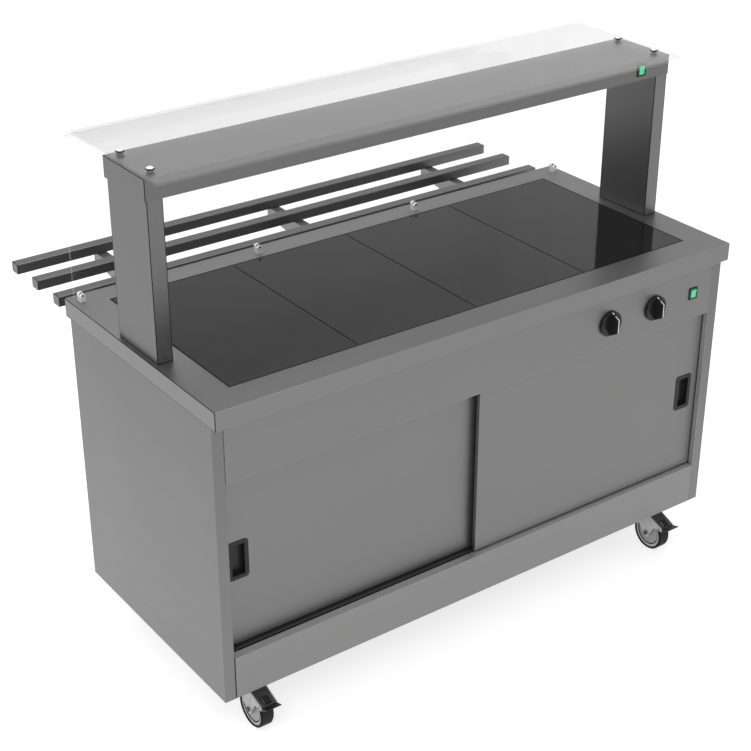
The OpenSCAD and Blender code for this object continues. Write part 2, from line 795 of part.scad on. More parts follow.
// Underside of the gantry with three pressed lamp troughs
trough_y = (post_front + gantry_back) / 2;
module gantry_floor() in_frame() color(steel) difference() {
  union() {
    block([-gantry_x + sheet, post_front + sheet, gantry_z],
      [gantry_x - sheet, gantry_back - sheet, gantry_z + sheet]);
    for (i = [-1, 0, 1])
      block([i * trough_pitch - trough_w / 2, trough_y - trough_d / 2, gantry_z],
        [i * trough_pitch + trough_w / 2, trough_y + trough_d / 2, gantry_z + trough_h]);
  }
  for (i = [-1, 0, 1])
    translate([i * trough_pitch, trough_y, 0])
      block([-trough_w / 2 + sheet, -trough_d / 2 + sheet, gantry_z - over],
        [trough_w / 2 - sheet, trough_d / 2 - sheet, gantry_z + trough_h - sheet]);
}

module heat_lamps() in_frame() color(shiny)
  for (i = [-1, 0, 1])
    translate([i * trough_pitch, trough_y, gantry_z + trough_h / 2]) {
      rod_x(-trough_w / 2 + sheet, trough_w / 2 - sheet, lamp_r);
      for (s = [-trough_w / 2 + sheet, trough_w / 2 - sheet - lamp_cap_l])
        rod_x(s, s + lamp_cap_l, lamp_cap_r);
    }

// Guard: flat top, quarter bend and upright back, all one thickness
module glass_guard() in_frame() color(clear) difference() {
  union() {
    block([-glass_x, glass_front, glass_z], [glass_x, bend_y, glass_z + glass_t]);
    block([-glass_x, glass_back - glass_t, glass_low], [glass_x, glass_back, bend_z]);
    intersection() {
      translate([0, bend_y, bend_z]) difference() {
        rod_x(-glass_x, glass_x, bend_r + glass_t);
        rod_x(-glass_x - over, glass_x + over, bend_r);
      }
      block([-glass_x, bend_y, bend_z], [glass_x, glass_back + over, glass_z + glass_t + over]);
    }
  }
  fixing_places() translate([0, 0, glass_z - over]) cylinder(h = glass_t + 2 * over, r = fix_hole_r);
}

// Stand-offs: spacer under the guard, bolt through it and a domed head on top
module glass_fixings() in_frame() color(shiny) fixing_places() {
  dome = (pow(fix_dome_r, 2) + pow(fix_dome_h, 2)) / (2 * fix_dome_h);
  translate([0, 0, gantry_top]) cylinder(h = glass_lift, r = fix_spacer_r);
  translate([0, 0, gantry_top - fix_tail])
    cylinder(h = glass_z + glass_t + sheet - gantry_top + fix_tail, r = fix_bolt_r);
  intersection() {
    translate([0, 0, glass_z + glass_t + fix_dome_h - dome]) sphere(dome);
    translate([0, 0, glass_z + glass_t]) cylinder(h = 2 * fix_dome_h, r = 2 * fix_dome_r);
  }
}

// Clamp: round-topped block with a slot for the guard and a blind grub-screw hole in front
module clamp_outline(h) {
  span([-clamp_w / 2, 0], [clamp_w / 2, h - clamp_round]);
  span([-clamp_w / 2 + clamp_round, 0], [clamp_w / 2 - clamp_round, h]);
  for (sx = [-1, 1])
    translate([sx * (clamp_w / 2 - clamp_round), h - clamp_round]) circle(clamp_round);
}
module glass_clamps() in_frame() color(shiny)
  for (cx = clamp_xs)
    translate([cx, glass_back, top_z]) difference() {
      union() {
        along_y(-glass_t - clamp_front, 0) clamp_outline(clamp_h);
        along_y(0, clamp_rear) clamp_outline(clamp_h + clamp_step);
      }
      block([-clamp_w, -glass_t, glass_foot], [clamp_w, 0, 2 * clamp_h]);
      translate([0, 0, grub_share * clamp_h])
        rod_y(-glass_t - clamp_front - over, -glass_t - clamp_front + grub_depth, grub_r);
    }

// Tray rail: closed tube with round edges and a vent hole underneath
module tray_rail(i) in_frame() color(steel)
  translate([0, rail_y1 + i * rail_pitch, rail_z + rail_h / 2]) difference() {
  along_x(-rail_x, rail_x) round_rect(rail_d, rail_h, rail_r);
  along_x(-rail_x + rail_cap, rail_x - rail_cap)
    round_rect(rail_d - 2 * rail_wall, rail_h - 2 * rail_wall, rail_r - rail_wall);
  translate([rail_x - rail_d, 0, -rail_h / 2 - over]) cylinder(h = rail_wall + 2 * over, r = vent_r);
}

// Brackets: upright gusset, top flange under the rails and a plate screwed to the back panel
module tray_brackets() in_frame() color(steel)
  for (bx = bracket_xs)
    translate([bx, 0, 0]) difference() {
      union() {
        along_x(0, bracket_t) polygon([[cab_back, bracket_top], [bracket_end, bracket_top],
          [bracket_end, bracket_top - bracket_nose], [cab_back + bracket_t, bracket_top - bracket_root],
          [cab_back, bracket_top - bracket_root]]);
        block([0, cab_back, bracket_top - bracket_t], [bracket_flange, bracket_end, bracket_top]);
        block([bracket_t - bracket_flange, cab_back, bracket_top - bracket_root],
          [bracket_t, cab_back + bracket_t, bracket_top]);
      }
      translate([-bx, 0, 0]) bracket_holes(cab_back - over, cab_back + bracket_t + over);
    }

// Screws of the brackets and bolts of the castor plates
module assembly_screws() in_frame() color(shiny) {
  for (bx = bracket_xs)
    for (dz = [screw_low, screw_high])
      translate([bx - screw_side, 0, bracket_top - dz]) {
        rod_y(back_in - 2 * bracket_t, cab_back + bracket_t + sheet, screw_r);
        rod_y(cab_back + bracket_t, cab_back + bracket_t + screw_head, screw_head_r);
      }
  bolt_circle(cab_z - plate_t - bolt_head, cab_z - plate_t, bolt_head_r);
  bolt_circle(cab_z - plate_t - bolt_head / 2, cab_z + bolt_l, bolt_r);
}

module cable_gland() in_frame() color(black) translate([gland_x, 0, cab_z + gland_rise]) difference() {
  union() {
    translate([0, cab_back + gland_nut, 0]) rotate([90, 0, 0]) cylinder(h = gland_nut, r = gland_r, $fn = 6);
    rod_y(cab_back, cab_back + gland_l, gland_cap_r);
  }
  rod_y(cab_back + gland_l - gland_bore_l, cab_back + gland_l + over, gland_bore);
}

// Castor plates with the upper swivel race, the kingpin and its nut
module castor_plates() in_frame() color(dark_steel) difference() {
  for (i = [0 : 3])
    translate([castor_at(i)[0], castor_at(i)[1], castor_h]) {
      translate([0, 0, -plate_t / 2]) cube([plate_w, plate_d, plate_t], center = true);
      translate([0, 0, -plate_t - race_h + fit]) cylinder(h = race_h - fit + sheet / 2, r = race_r);
      translate([0, 0, -crown_rise - crown_t - kingnut_h - fit]) {
        cylinder(h = crown_rise + crown_t + kingnut_h, r = kingpin_r);
        cylinder(h = kingnut_h, r = kingnut_r, $fn = 6);
      }
    }
  bolt_circle(castor_h - plate_t - over, castor_h + over, bolt_r + fit / 2);
  block([-castor_x - plate_w, -castor_y - plate_d, castor_h],
    [castor_x + plate_w, castor_y + plate_d, castor_h + plate_t]);
}

// Fork outlines run forward from the swivel in Y and up from the floor in Z
module cheeks(outline) {
  for (x0 = [-fork_w / 2, fork_w / 2 - cheek_t])
    along_x(x0, x0 + cheek_t) {
      polygon(outline);
      translate([castor_trail, wheel_r]) circle(cheek_boss);
    }
}
module fork_core() difference() {
  union() {
    along_x(-fork_w / 2, fork_w / 2) span([-neck_back, crown_z], [neck_front, crown_z + crown_t]);
    translate([0, 0, crown_z]) cylinder(h = crown_t + cup_h, r = crown_r);
    translate([0, castor_trail, wheel_r]) rod_x(-fork_w / 2, fork_w / 2, axle_bolt_r);
    for (x0 = [-fork_w / 2 - axle_nut, fork_w / 2])
      translate([x0, castor_trail, wheel_r]) rotate([0, 90, 0])
        cylinder(h = axle_nut, r = axle_nut_r, $fn = 6);
  }
  translate([0, 0, crown_z - over]) cylinder(h = crown_t + cup_h + 2 * over, r = kingpin_r + fit);
}
knee = [castor_trail + knee_in, 2 * wheel_r + knee_gap];
nose = [castor_trail + wheel_r + nose_reach, wheel_r + nose_rise];
nose_low = [nose[0], nose[1] - nose_h];
boss_back = castor_trail - cheek_boss * boss_share;
boss_front = castor_trail + cheek_boss * boss_share;
boss_low = wheel_r - cheek_boss * boss_low_share;
pivot = [castor_trail + pedal_pivot, wheel_r + pedal_pivot_z];
hatch_from = knee + (nose - knee) * hatch_from_share;
hatch_to = knee + (nose - knee) * hatch_to_share;
hatch_down = [hatch_depth * tab_lean_share, hatch_depth];
tab_from = knee + (nose - knee) * tab_from_share;
tab_to = knee + (nose - knee) * tab_share;
tab_up = [tab_t * tab_lean_share, tab_t];

// Sloping hood with a sunk hatch and a raised tab in it
module fork_hood() {
  difference() {
    along_x(-fork_w / 2 + cheek_t / 2, fork_w / 2 - cheek_t / 2)
      polygon([[neck_front - hood_t, crown_z + crown_t], [neck_front, crown_z + crown_t], knee, nose,
        [nose[0], nose[1] - hood_t], [knee[0] - hood_t / 2, knee[1] - hood_t],
        [neck_front - hood_t, crown_z]]);
    along_x(-hatch_w / 2, hatch_w / 2)
      polygon([hatch_from - hatch_down, hatch_from + tab_up, hatch_to + tab_up, hatch_to - hatch_down]);
  }
  along_x(-tab_w / 2, tab_w / 2)
    polygon([tab_from - tab_up, tab_from + tab_up, tab_to + tab_up, tab_to - tab_up]);
}

// Braked fork: cheeks drawn out to a nose under the hood
module braked_fork() color(steel) difference() {
  union() {
    fork_core();
    fork_hood();
    cheeks([[-neck_back, crown_z + crown_t], [neck_front, crown_z + crown_t], knee, nose, nose_low,
      [nose[0] - jaw_back, nose_low[1] - jaw_drop], [boss_front, boss_low], [boss_back, boss_low],
      [-neck_back, crown_z - neck_drop]]);
  }
  translate([0, pivot[0], pivot[1]]) rod_x(-fork_w, fork_w, pedal_pin_r + fit);
}
module plain_fork() color(steel) {
  fork_core();
  cheeks([[-neck_back, crown_z + crown_t], [neck_front, crown_z + crown_t],
    [castor_trail + cheek_boss, wheel_r], [boss_front, boss_low], [boss_back, boss_low],
    [-neck_back, crown_z - neck_drop]]);
}
// Castors 1 and 2 trail to the front, 3 and 4 to the back
module at_castor(i) in_frame()
  translate([castor_at(i)[0], castor_at(i)[1], 0]) mirror([0, i < 2 ? 1 : 0, 0]) children();
module castor_fork(i) at_castor(i) { if (i < 2) braked_fork(); else plain_fork(); }

// Hub: boss, disc, groove and rim turned about the axle
module castor_hub(i) at_castor(i) color(steel) translate([0, castor_trail, wheel_r]) rotate([0, 90, 0])
  rotate_extrude() polygon([[axle_bolt_r + fit, -wheel_w / 2 - hub_boss_out],
    [hub_boss, -wheel_w / 2 - hub_boss_out], [hub_boss, -hub_face], [hub_disc_r, -hub_face],
    [hub_disc_r, -hub_groove], [hub_rim_r, -hub_groove], [hub_rim_r, -hub_face - hub_boss_out],
    [hub_r, -hub_face - hub_boss_out], [hub_r, hub_face + hub_boss_out],
    [hub_rim_r, hub_face + hub_boss_out], [hub_rim_r, hub_groove], [hub_disc_r, hub_groove],
    [hub_disc_r, hub_face], [hub_boss, hub_face], [hub_boss, wheel_w / 2 + hub_boss_out],
    [axle_bolt_r + fit, wheel_w / 2 + hub_boss_out]]);
module castor_tyre(i) at_castor(i) color(black) translate([0, castor_trail, wheel_r]) rotate([0, 90, 0])
  rotate_extrude() polygon([[hub_r, -wheel_w / 2], [wheel_r - tyre_round, -wheel_w / 2],
    [wheel_r, -wheel_w / 2 + tyre_round], [wheel_r, wheel_w / 2 - tyre_round],
    [wheel_r - tyre_round, wheel_w / 2], [hub_r, wheel_w / 2]]);

// Brake pedal: lever on a pin between the cheeks, with a wide tip that rises in front of the nose
module brake_pedal(i) at_castor(i) color(black) {
  top = nose_low[1] + pedal_t - fit;
  root = nose[0] + pedal_air;
  tip = [castor_trail + pedal_reach, nose[1] + pedal_lift];
  tip_low = [tip[0], tip[1] - pedal_edge];
  translate([0, pivot[0], pivot[1]]) {
    rod_x(-pedal_w / 2, pedal_w / 2, pedal_boss_r);
    rod_x(-fork_w / 2, fork_w / 2, pedal_pin_r);
  }
  along_x(-pedal_w / 2, pedal_w / 2)
    polygon([[pivot[0] - pedal_pin_r, top - pedal_t], [pivot[0] - pedal_pin_r, top], [root, top],
      tip, tip_low, [root, top - pedal_t]]);
  along_x(-pedal_tip_w / 2, pedal_tip_w / 2) polygon([[root, top - pedal_t], [root, nose[1]], tip, tip_low]);
}

worktop();
hot_tile(0);  // hot_tile_1
hot_tile(1);  // hot_tile_2
hot_tile(2);  // hot_tile_3
hot_tile(3);  // hot_tile_4
tile_seal();
heating_elements();
left_side_panel();
right_side_panel();
back_panel();
base_panel();
shelf();
fascia_panel();
plinth_panel();
top_track();
bottom_track();
left_door();
right_door();
left_handle();
right_handle();
left_door_roller_1();
left_door_roller_2();
right_door_roller_1();
right_door_roller_2();
left_knob();
right_knob();
heat_controls();
main_switch();
main_rocker();
gantry_switch();
gantry_rocker();
left_post();
right_post();
gantry_canopy();
gantry_floor();
heat_lamps();
glass_guard();
glass_fixings();
glass_clamps();
tray_rail(0);  // tray_rail_1
tray_rail(1);  // tray_rail_2
tray_rail(2);  // tray_rail_3
tray_brackets();
assembly_screws();
cable_gland();
castor_plates();
castor_fork(0);  // castor_fork_1
castor_fork(1);  // castor_fork_2
castor_fork(2);  // castor_fork_3
castor_fork(3);  // castor_fork_4
castor_hub(0);  // castor_hub_1
castor_hub(1);  // castor_hub_2
castor_hub(2);  // castor_hub_3
castor_hub(3);  // castor_hub_4
castor_tyre(0);  // castor_tyre_1
castor_tyre(1);  // castor_tyre_2
castor_tyre(2);  // castor_tyre_3
castor_tyre(3);  // castor_tyre_4
brake_pedal(0);  // brake_pedal_1
brake_pedal(1);  // brake_pedal_2
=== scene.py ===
"""Mobile heated servery counter: the finishes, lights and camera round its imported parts.

X runs along the operator's front, the tray slide is at +Y and Z is up. Lengths are metres.
"""

import math

import bpy
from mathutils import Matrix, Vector


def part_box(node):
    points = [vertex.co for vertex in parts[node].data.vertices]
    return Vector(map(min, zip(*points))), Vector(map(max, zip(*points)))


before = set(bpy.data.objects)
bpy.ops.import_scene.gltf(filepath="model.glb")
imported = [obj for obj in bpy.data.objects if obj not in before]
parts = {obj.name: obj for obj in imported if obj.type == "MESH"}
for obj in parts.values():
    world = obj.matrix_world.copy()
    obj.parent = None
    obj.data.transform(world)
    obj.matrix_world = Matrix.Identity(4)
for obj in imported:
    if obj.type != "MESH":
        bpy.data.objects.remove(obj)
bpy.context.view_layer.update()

MM = 0.001

# Where the photograph was taken from
EYE = Vector((-2.17883, -3.03473, 2.51709))
AIM = Vector((-0.10020, -0.15163, 0.64085))
LENS_MM = 78.203
SENSOR_MM = 36


def middle(name):
    """The middle of a part at rest."""
    low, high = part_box(name)
    return (low + high) / 2


# Node helpers


def place(tree, kind, **settings):
    """One new shader node with its settings."""
    node = tree.nodes.new(kind)
    for name, value in settings.items():
        setattr(node, name, value)
    return node


def feed(tree, value, socket):
    """Links a socket to an input, or sets the input to a plain value."""
    if isinstance(value, bpy.types.NodeSocket):
        tree.links.new(value, socket)
    else:
        socket.default_value = value


def calc(tree, operation, *values, clamp=False):
    """A Math node on sockets and numbers."""
    node = place(tree, "ShaderNodeMath", operation=operation, use_clamp=clamp)
    for socket, value in zip(node.inputs, values):
        feed(tree, value, socket)
    return node.outputs[0]


def ramp(tree, value, from_low, from_high, to_low=0.0, to_high=1.0):
    """A smooth, clamped change from one range to another."""
    node = place(tree, "ShaderNodeMapRange", interpolation_type="SMOOTHSTEP")
    feed(tree, value, node.inputs["Value"])
    limits = {"From Min": from_low, "From Max": from_high, "To Min": to_low, "To Max": to_high}
    for name, number in limits.items():
        feed(tree, number, node.inputs[name])
    return node.outputs["Result"]


def blend_colours(tree, share, first, second):
    """A colour between two, by a share from 0 to 1."""
    node = place(tree, "ShaderNodeMix", data_type="RGBA")
    feed(tree, share, node.inputs["Factor"])
    feed(tree, first, node.inputs[6])
    feed(tree, second, node.inputs[7])
    return node.outputs[2]


def noise(tree, vector, scale, detail=2.0, roughness=0.5):
    """Noise between about 0 and 1."""
    node = place(tree, "ShaderNodeTexNoise")
    feed(tree, vector, node.inputs["Vector"])
    node.inputs["Scale"].default_value = scale
    node.inputs["Detail"].default_value = detail
    node.inputs["Roughness"].default_value = roughness
    return node.outputs["Fac"]


def stretched(tree, vector, by):
    """A vector multiplied by another."""
    node = place(tree, "ShaderNodeVectorMath", operation="MULTIPLY")
    feed(tree, vector, node.inputs[0])
    feed(tree, by, node.inputs[1])
    return node.outputs[0]


def grey(level, tint=(1.0, 1.0, 1.0)):
    """A colour of one level, with a slight tint."""
    return (level * tint[0], level * tint[1], level * tint[2], 1.0)


def new_group(name, inputs, outputs):
    """A node group with named sockets, given as (name, kind, value) and (name, kind)."""
    group = bpy.data.node_groups.new(name, "ShaderNodeTree")
    for title, kind, value in inputs:
        socket = group.interface.new_socket(title, in_out="INPUT", socket_type=kind)
        socket.default_value = value
    for title, kind in outputs:
        group.interface.new_socket(title, in_out="OUTPUT", socket_type=kind)
    entry = group.nodes.new("NodeGroupInput")
    leave = group.nodes.new("NodeGroupOutput")
    return group, entry.outputs, leave.inputs


def use_group(tree, group, **values):
    """A group placed in a material, with its inputs set; underscores stand for spaces."""
    node = place(tree, "ShaderNodeGroup", node_tree=group)
    for name, value in values.items():
        feed(tree, value, node.inputs[name.replace("_", " ")])
    return node.outputs


# Effects that several finishes share

# Scales of the polishing lines, along and across their run
ALONG_LINES = 5.0
ACROSS_LINES = 900.0
RUN_ON_X = (ALONG_LINES, ACROSS_LINES, ACROSS_LINES)
RUN_ON_Y = (ACROSS_LINES, ALONG_LINES, ACROSS_LINES)
RUN_ON_Z = (ACROSS_LINES, ACROSS_LINES, ALONG_LINES)


def brushed_sheet_group():
    """Polishing lines along a sheet's run, turned on end faces, and cloudy wipe marks."""
    group, given, out = new_group(
        "brushed sheet",
        [
            ("Face Run", "NodeSocketVector", RUN_ON_X),
            ("End Run", "NodeSocketVector", RUN_ON_Y),
            ("Cloud Size", "NodeSocketFloat", 3.0),
        ],
        [("Grain", "NodeSocketFloat"), ("Streak", "NodeSocketFloat"), ("Cloud", "NodeSocketFloat")],
    )
    where = place(group, "ShaderNodeTexCoord").outputs
    facing = place(group, "ShaderNodeSeparateXYZ")
    group.links.new(where["Normal"], facing.inputs[0])
    is_end = calc(group, "GREATER_THAN", calc(group, "ABSOLUTE", facing.outputs["X"]), 0.7)
    run = place(group, "ShaderNodeMix", data_type="VECTOR")
    feed(group, is_end, run.inputs["Factor"])
    feed(group, given["Face Run"], run.inputs[4])
    feed(group, given["End Run"], run.inputs[5])
    lines = stretched(group, where["Object"], run.outputs[1])
    feed(group, noise(group, lines, 1.0, detail=1.0), out["Grain"])
    feed(group, noise(group, lines, 0.12, detail=2.0), out["Streak"])
    cloud = place(group, "ShaderNodeTexNoise")
    feed(group, where["Object"], cloud.inputs["Vector"])
    feed(group, given["Cloud Size"], cloud.inputs["Scale"])
    cloud.inputs["Detail"].default_value = 3.0
    feed(group, cloud.outputs["Fac"], out["Cloud"])
    return group


def moulded_group():
    """Fine spark-eroded mould texture and a little dust that settles on upward faces."""
    group, given, out = new_group(
        "moulded surface",
        [("Texture Size", "NodeSocketFloat", 1400.0), ("Dust", "NodeSocketFloat", 0.3)],
        [("Texture", "NodeSocketFloat"), ("Dusting", "NodeSocketFloat")],
    )
    where = place(group, "ShaderNodeTexCoord").outputs
    pits = place(group, "ShaderNodeTexNoise")
    feed(group, where["Object"], pits.inputs["Vector"])
    feed(group, given["Texture Size"], pits.inputs["Scale"])
    pits.inputs["Detail"].default_value = 2.0
    feed(group, pits.outputs["Fac"], out["Texture"])
    facing = place(group, "ShaderNodeSeparateXYZ")
    group.links.new(where["Normal"], facing.inputs[0])
    upward = ramp(group, facing.outputs["Z"], 0.2, 1.0)
    patches = ramp(group, noise(group, where["Object"], 60.0, detail=4.0), 0.4, 0.75)
    settled = calc(group, "MULTIPLY", upward, patches)
    feed(group, calc(group, "MULTIPLY", settled, given["Dust"]), out["Dusting"])
    return group


def band_group():
    """1 inside a range of a value, 0 outside it, with a soft edge."""
    group, given, out = new_group(
        "band",
        [("Value", "NodeSocketFloat", 0.0), ("Low", "NodeSocketFloat", 0.0), ("High", "NodeSocketFloat", 1.0),
         ("Edge", "NodeSocketFloat", 0.0001)],
        [("Inside", "NodeSocketFloat")],
    )
    past_low = calc(group, "SUBTRACT", given["Value"], given["Low"])
    short_of_high = calc(group, "SUBTRACT", given["High"], given["Value"])
    above = calc(group, "DIVIDE", past_low, given["Edge"], clamp=True)
    below = calc(group, "DIVIDE", short_of_high, given["Edge"], clamp=True)
    feed(group, calc(group, "MULTIPLY", above, below), out["Inside"])
    return group


BRUSHED = brushed_sheet_group()
MOULDED = moulded_group()
BAND = band_group()


def band(tree, value, low, high, edge=0.0001):
    """The mask of a range of a value."""
    return use_group(tree, BAND, Value=value, Low=low, High=high, Edge=edge)["Inside"]


def position(tree):
    """A point of the part at rest, as one vector."""
    return place(tree, "ShaderNodeTexCoord").outputs["Object"]


def coordinates(tree):
    """X, Y and Z of a point of the part at rest."""
    split = place(tree, "ShaderNodeSeparateXYZ")
    tree.links.new(position(tree), split.inputs[0])
    return split.outputs


def facing(tree):
    """How far a face of the part at rest looks along X, Y and Z."""
    split = place(tree, "ShaderNodeSeparateXYZ")
    tree.links.new(place(tree, "ShaderNodeTexCoord").outputs["Normal"], split.inputs[0])
    return split.outputs


def hypotenuse(tree, first, second):
    """The length of a line from its two parts at right angles."""
    squares = (calc(tree, "POWER", value, 2.0) for value in (first, second))
    return calc(tree, "SQRT", calc(tree, "ADD", *squares))


def new_material(name, **settings):
    """A material with one Principled shader, whose inputs are set by name; underscores stand for spaces."""
    material = bpy.data.materials.new(name)
    material.use_nodes = True
    tree = material.node_tree
    tree.nodes.clear()
    shader = tree.nodes.new("ShaderNodeBsdfPrincipled")
    output = tree.nodes.new("ShaderNodeOutputMaterial")
    tree.links.new(shader.outputs["BSDF"], output.inputs["Surface"])
    for title, value in settings.items():
        shader.inputs[title.replace("_", " ")].default_value = value
    return material, tree, shader.inputs


def raise_surface(tree, inputs, height, distance, strength=1.0):
    """A Bump node under the shader."""
    bump = place(tree, "ShaderNodeBump")
    bump.inputs["Strength"].default_value = strength
    bump.inputs["Distance"].default_value = distance
    feed(tree, height, bump.inputs["Height"])
    feed(tree, bump.outputs["Normal"], inputs["Normal"])


# Finishes

ALONG = {"Face_Run": RUN_ON_X, "End_Run": RUN_ON_Y}
UPRIGHT = {"Face_Run": RUN_ON_Z, "End_Run": RUN_ON_Z}
STEEL_TINT = (1.0, 1.0, 0.995)


def near_plane(tree, name, side, width):
    """1 within a width of one side of a part's box, such as "x high", or of either side, such as "x both"."""
    low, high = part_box(name)
    axis, which = side.split()
    number = "xyz".index(axis)
    value = coordinates(tree)[number]
    centre, half = (low[number] + high[number]) / 2, (high[number] - low[number]) / 2
    offset = calc(tree, "SUBTRACT", value, centre)
    if which == "both":
        offset = calc(tree, "ABSOLUTE", offset)
    if which == "low":
        offset = calc(tree, "MULTIPLY", offset, -1.0)
    return calc(tree, "GREATER_THAN", offset, half - width)


def edge_lines(tree, name, edges, width):
    """The mask of narrow lines along edges of a part's box, each edge given as two sides that meet."""
    mask = 0.0
    for edge in edges:
        sides = (near_plane(tree, name, side, width) for side in edge)
        mask = calc(tree, "MAXIMUM", mask, calc(tree, "MULTIPLY", *sides))
    return mask


# Closed seams, which show dark, and folds, painted lighter as a painted highlight along each bend, as pairs
# of sides that meet
END_SEAMS = [("x both", "z high"), ("x both", "y both")]
POST_SEAMS = [("x both", "y both"), ("x both", "z low"), ("y low", "z low")]
# For the rails, dark lines are painted along the tubes' ends and along their lower front and upper back edges
RAIL_DARK_EDGES = [("y low", "z low"), ("y high", "z high"), ("x both", "y both"), ("x both", "z both")]
SEAM_WIDTH = 1.7 * MM
SEAMS = {
    "worktop": [*END_SEAMS, ("x both", "z low")],
    "gantry_canopy": END_SEAMS,
    "left_post": POST_SEAMS,
    "right_post": POST_SEAMS,
    "plinth_panel": [("x low", "y low")],
    "left_side_panel": [("x low", "y high")],
    "right_side_panel": [("x high", "y low")],
    "tray_rail_1": RAIL_DARK_EDGES,
    "tray_rail_2": RAIL_DARK_EDGES,
    "tray_rail_3": RAIL_DARK_EDGES,
}
FOLD_HIGHLIGHT_WIDTH = 1.1 * MM
# Folds painted lighter: a painted highlight along each bend
FOLD_HIGHLIGHTS = {
    "worktop": [("y both", "z high"), ("y both", "z low")],
    "fascia_panel": [("y low", "z low")],
    "plinth_panel": [("y low", "z high")],
}
FOLD_HIGHLIGHT_GAIN = 1.3
SEAM_GAIN = 0.12

# Faces painted lighter or darker than the rest of a part, as painted light and shade: axis, its sign and the
# gain
PAINTED_LIGHT_FACES = {
    "left_post": ("Y", -1, 1.07),
    "right_post": ("X", -1, 0.85),
    "right_side_panel": ("X", -1, 3.0),
    "plinth_panel": ("Z", 1, 3.2),
}

# Panels painted lighter towards the foot, a painted reflection of the bright floor
PAINTED_FOOT_LIGHT_PANELS = ("left_side_panel", "right_side_panel")
HEAD_GAIN = 0.94
FOOT_GAIN = 1.13


def facing_mask(tree, axis, sign):
    """1 on the faces that look along an axis, seen from the part at rest."""
    return calc(tree, "GREATER_THAN", calc(tree, "MULTIPLY", facing(tree)[axis], sign), 0.7)


def brushed_steel(name, level, run=ALONG, rough=0.4, part=None):
    """Satin stainless sheet. part, if given, is the part whose seams, painted fold highlights and painted
    light and shade it marks.
    """
    material, tree, inputs = new_material(name, Metallic=0.92)
    marks = use_group(tree, BRUSHED, **run)
    tone = calc(tree, "MULTIPLY", calc(tree, "ADD", marks["Streak"], marks["Cloud"]), 0.5)
    darker, lighter = grey(level * 0.975, STEEL_TINT), grey(level * 1.025, STEEL_TINT)
    colour = blend_colours(tree, ramp(tree, tone, 0.3, 0.7), darker, lighter)
    # Painted reflection of the floor: lighter towards the foot
    if part in PAINTED_FOOT_LIGHT_PANELS:
        low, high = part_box(part)
        drop = ramp(tree, coordinates(tree)["Z"], high.z, low.z)
        colour = blend_colours(tree, drop, grey(level * HEAD_GAIN), grey(level * FOOT_GAIN))
    # Painted light and shade on one face of the part
    if part in PAINTED_LIGHT_FACES:
        axis, sign, gain = PAINTED_LIGHT_FACES[part]
        colour = blend_colours(tree, facing_mask(tree, axis, sign), colour, grey(level * gain))
    # Painted highlight along the folds
    if part in FOLD_HIGHLIGHTS:
        fold_highlights = edge_lines(tree, part, FOLD_HIGHLIGHTS[part], FOLD_HIGHLIGHT_WIDTH)
        colour = blend_colours(tree, fold_highlights, colour, grey(level * FOLD_HIGHLIGHT_GAIN))
    if part in SEAMS:
        seams = edge_lines(tree, part, SEAMS[part], SEAM_WIDTH)
        colour = blend_colours(tree, seams, colour, grey(level * SEAM_GAIN))
    if part == "worktop":
        colour = blend_colours(tree, sealant_lap(tree), colour, grey(0.002))
    feed(tree, colour, inputs["Base Color"])
    feed(tree, ramp(tree, tone, 0.25, 0.75, rough - 0.03, rough + 0.03), inputs["Roughness"])
    raise_surface(tree, inputs, marks["Grain"], 0.012 * MM, 0.4)
    return material


# How far the sealant laps onto the worktop, and how far below the tiles' faces it still shows
LAP_WIDTH = 1.5 * MM
LAP_DEPTH = 3 * MM


def sealant_lap(tree):
    """The mask of the sealant that laps onto the worktop round the tiles."""
    low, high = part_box("tile_seal")
    x, y, z = (coordinates(tree)[axis] for axis in "XYZ")
    inside = calc(tree, "GREATER_THAN", z, high.z - LAP_DEPTH)
    for value, axis in ((x, 0), (y, 1)):
        offset = calc(tree, "ABSOLUTE", calc(tree, "SUBTRACT", value, (low[axis] + high[axis]) / 2))
        reach = (high[axis] - low[axis]) / 2 + LAP_WIDTH
        inside = calc(tree, "MULTIPLY", inside, calc(tree, "LESS_THAN", offset, reach))
    return inside


def hot_tile_finish():
    """Dark glass-ceramic with faint specks and finger marks."""
    material, tree, inputs = new_material("hot tile glass", IOR=1.32)
    where = position(tree)
    specks = ramp(tree, noise(tree, where, 900.0), 0.62, 0.75)
    feed(tree, blend_colours(tree, specks, grey(0.006), grey(0.02)), inputs["Base Color"])
    marks = noise(tree, where, 9.0, detail=4.0, roughness=0.6)
    feed(tree, ramp(tree, marks, 0.35, 0.75, 0.04, 0.12), inputs["Roughness"])
    return material


def sealant_finish():
    """Black silicone with a faintly uneven surface."""
    material, tree, inputs = new_material("black sealant", Roughness=0.85, Specular_IOR_Level=0.05)
    where = position(tree)
    wave = noise(tree, where, 120.0, detail=3.0)
    feed(tree, blend_colours(tree, wave, grey(0.001), grey(0.003)), inputs["Base Color"])
    raise_surface(tree, inputs, wave, 0.2 * MM, 0.4)
    return material


def black_plastic(name, rough, dust, extra=None):
    """Moulded black plastic. extra, if given, returns a mask and the colour it is printed in."""
    material, tree, inputs = new_material(name, Specular_IOR_Level=0.3)
    marks = use_group(tree, MOULDED, Dust=dust)
    colour = blend_colours(tree, marks["Texture"], grey(0.006), grey(0.014))
    colour = blend_colours(tree, marks["Dusting"], colour, grey(0.2))
    if extra:
        mask, ink = extra(tree)
        colour = blend_colours(tree, mask, colour, ink)
    feed(tree, colour, inputs["Base Color"])
    feed(tree, ramp(tree, marks["Texture"], 0.3, 0.7, rough - 0.05, rough + 0.08), inputs["Roughness"])
    raise_surface(tree, inputs, marks["Texture"], 0.02 * MM, 0.5)
    return material


# A knob's printed pointer: the line, its gap from the dot, the dot, and where the grip stands off the panel
POINTER_HALF_WIDTH = 1.4 * MM
POINTER_GAP = 4 * MM
POINTER_FOOT_SHARE = 0.47
DOT_RADIUS = 1.9 * MM
DOT_DROP = 2.6 * MM
GRIP_STAND_OFF = 8.6 * MM


